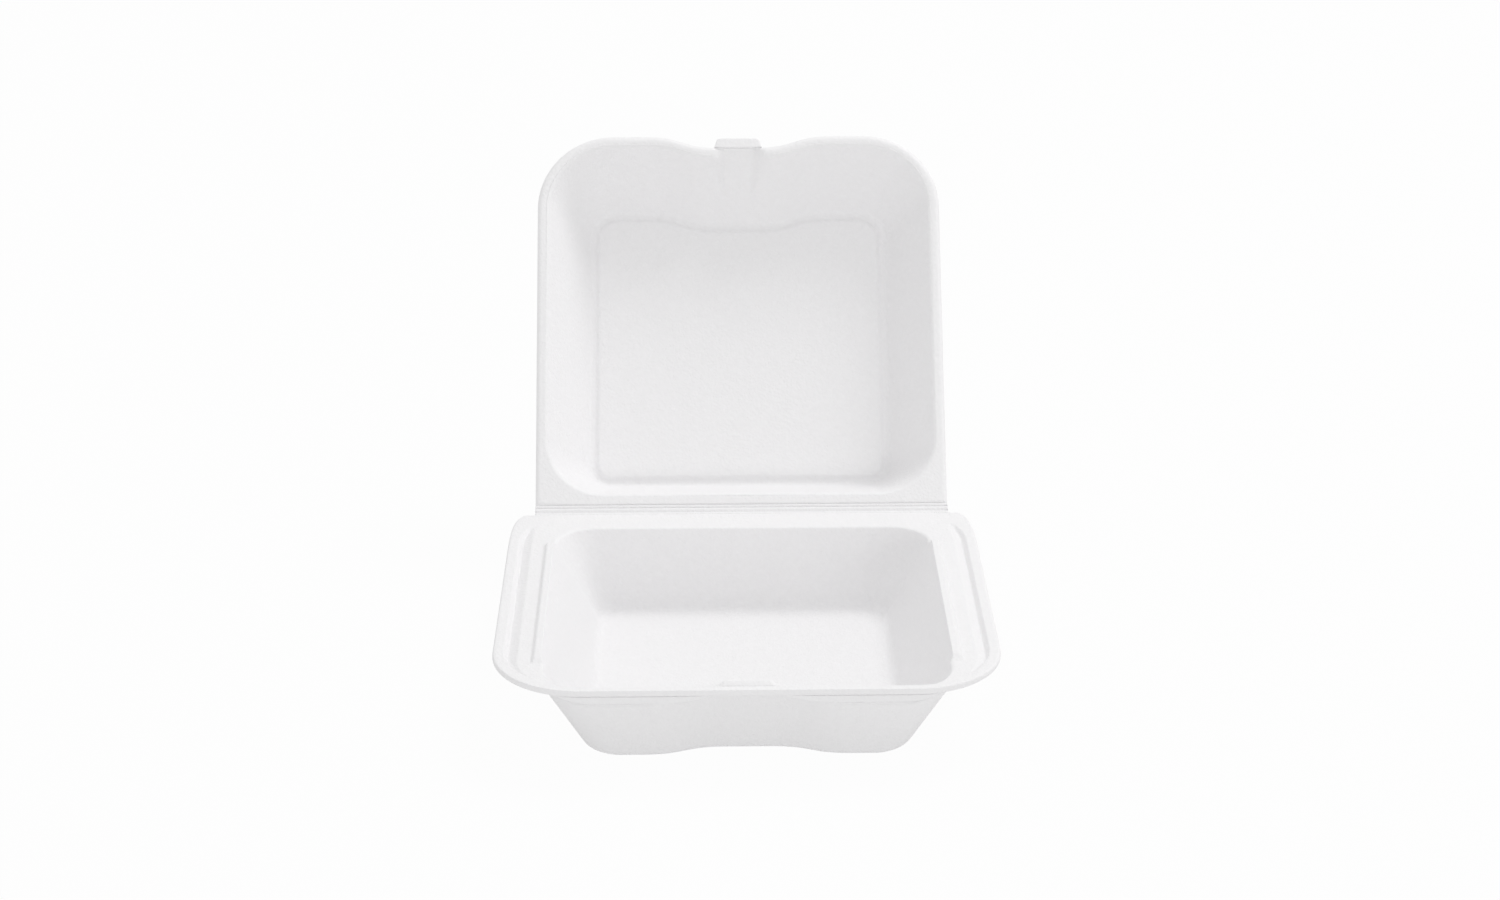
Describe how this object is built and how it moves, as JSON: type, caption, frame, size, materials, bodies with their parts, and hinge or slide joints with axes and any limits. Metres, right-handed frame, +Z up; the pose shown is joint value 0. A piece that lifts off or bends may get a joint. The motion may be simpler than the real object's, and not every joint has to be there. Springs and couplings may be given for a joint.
{
  "type": "hinged foam food container",
  "caption": "White foam takeaway box, standing open: drafted tray with a wide flange, hinged lid with a closing tab.",
  "frame": {"origin": "middle of the tray's flat underside", "axes": "+Z up, -Y towards the front with the catch and tab slot, hinge line along X at the back"},
  "size_m": [0.213, 0.305, 0.1901],
  "materials": {
    "foam": "satin white expanded polystyrene skin"
  },
  "bodies": {
    "tray": {"tray": "foam"},
    "lid": {"lid": "foam"}
  },
  "joints": [
    {"name": "lid_hinge", "type": "hinge", "parent": "tray", "child": "lid", "pos_m": [0, 0.094, 0.04165], "axis": [1, 0, 0], "range_deg": [-54, 126]}
  ]
}
